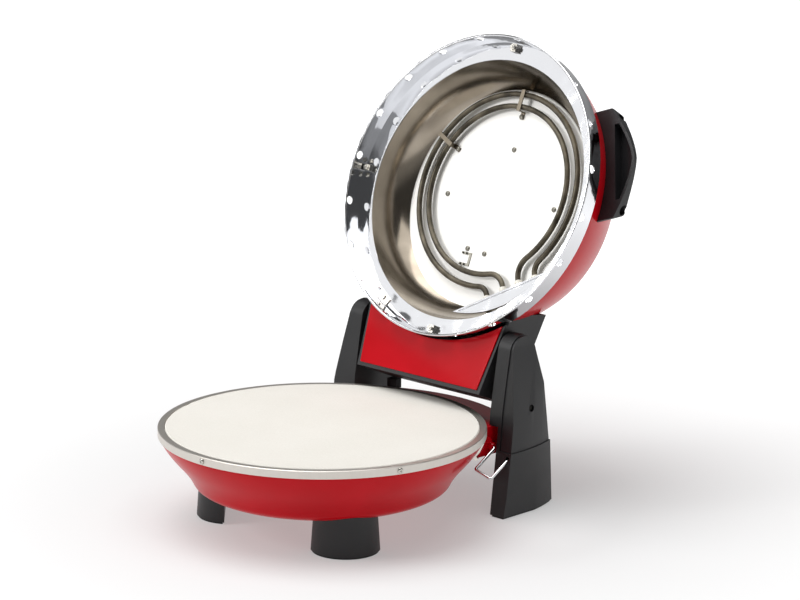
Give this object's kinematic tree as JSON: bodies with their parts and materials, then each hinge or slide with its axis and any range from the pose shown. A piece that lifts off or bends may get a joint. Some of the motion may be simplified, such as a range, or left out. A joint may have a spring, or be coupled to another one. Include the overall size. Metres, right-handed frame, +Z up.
{
  "type": "countertop pizza maker",
  "caption": "Round electric pizza cooker: red pan with a loose baking stone, hinged domed lid with tubular heaters, black hinge posts, handles and a control knob.",
  "frame": {"origin": "middle of the footprint box on the worktop, midway between the sides and between the front of the pan and the back of the open lid", "axes": "+Z up, +Y from the baking stone towards the hinge and the tail, +X to the right seen from the front"},
  "size_m": [0.3504, 0.5039, 0.4606],
  "materials": {
    "red_enamel": "gloss",
    "black_plastic": "satin",
    "stone": "matte",
    "polished_steel": "polished",
    "brushed_steel": "brushed",
    "bright_screws": "bright",
    "chrome_wire": "polished",
    "heater_sheath": "heat-darkened satin",
    "white_ceramic": "satin",
    "insulation": "fibrous",
    "wire_cover": "satin",
    "dark_rubber": "matte",
    "bush_nylon": "satin",
    "lamp_lens": "gloss",
    "switch_body": "matte"
  },
  "bodies": {
    "base": {"pan": "red_enamel", "rim_ring": "brushed_steel", "rim_screws": "bright_screws", "stone_tray": "brushed_steel", "base_insulation": "insulation", "lower_heater": "heater_sheath", "lower_clips": "brushed_steel", "lower_bushings": "white_ceramic", "lower_cutout": "switch_body", "base_terminals": "white_ceramic", "wire_loom": "wire_cover", "cord_gland": "black_plastic", "foot_left": "black_plastic", "foot_right": "black_plastic", "foot_screws": "bright_screws", "rubber_pads": "dark_rubber", "post_left": "black_plastic", "post_right": "black_plastic", "cover_left": "black_plastic", "cover_right": "black_plastic", "cover_screws": "bright_screws", "post_bolts": "bright_screws", "bush_left": "bush_nylon", "bush_right": "bush_nylon", "stop_bumpers": "dark_rubber", "latch_keepers": "brushed_steel", "latch_sockets": "red_enamel"},
    "stone_plate": {"stone": "stone"},
    "bail_l": {"bail_left": "chrome_wire"},
    "bail_r": {"bail_right": "chrome_wire"},
    "lid": {"dome": "red_enamel", "skirt": "polished_steel", "bowl": "brushed_steel", "blanket": "insulation", "inner_heater": "heater_sheath", "outer_heater": "heater_sheath", "heater_straps": "brushed_steel", "upper_bushings": "white_ceramic", "terminal_shield": "polished_steel", "bowl_screws": "bright_screws", "probe_clip": "brushed_steel", "ring_studs": "bright_screws", "ring_clips": "brushed_steel", "handle_left": "black_plastic", "handle_right": "black_plastic", "handle_screws": "bright_screws", "neck_shell": "black_plastic", "neck_plate": "red_enamel", "neck_screws": "bright_screws", "pin_left": "bright_screws", "pin_right": "bright_screws", "pin_clips": "bright_screws", "control_panel": "black_plastic", "pilot_lamps": "lamp_lens", "lid_thermostat": "switch_body", "lid_terminals": "white_ceramic"},
    "dial": {"knob": "black_plastic"}
  },
  "joints": [
    {"name": "lid_hinge", "type": "hinge", "parent": "base", "child": "lid", "pos_m": [0, 0.08334, 0.1415], "axis": [1, 0, 0], "range_deg": [0, 113.5]},
    {"name": "stone_lift", "type": "slide", "parent": "base", "child": "stone_plate", "axis": [0, 0, 1], "range_m": [0, 0.008]},
    {"name": "knob_turn", "type": "hinge", "parent": "lid", "child": "dial", "pos_m": [0.034, 0.11066, 0.12635], "axis": [0, 0.9171, -0.3987], "range_deg": [-270, 0]},
    {"name": "bail_left_swing", "type": "hinge", "parent": "base", "child": "bail_l", "pos_m": [-0.099, 0.05234, 0.0705], "axis": [-0.9069, 0.1928, -0.3746], "range_deg": [0, 20]},
    {"name": "bail_right_swing", "type": "hinge", "parent": "base", "child": "bail_r", "pos_m": [0.099, 0.05234, 0.0705], "axis": [-0.9069, -0.1928, 0.3746], "range_deg": [0, 20]}
  ]
}
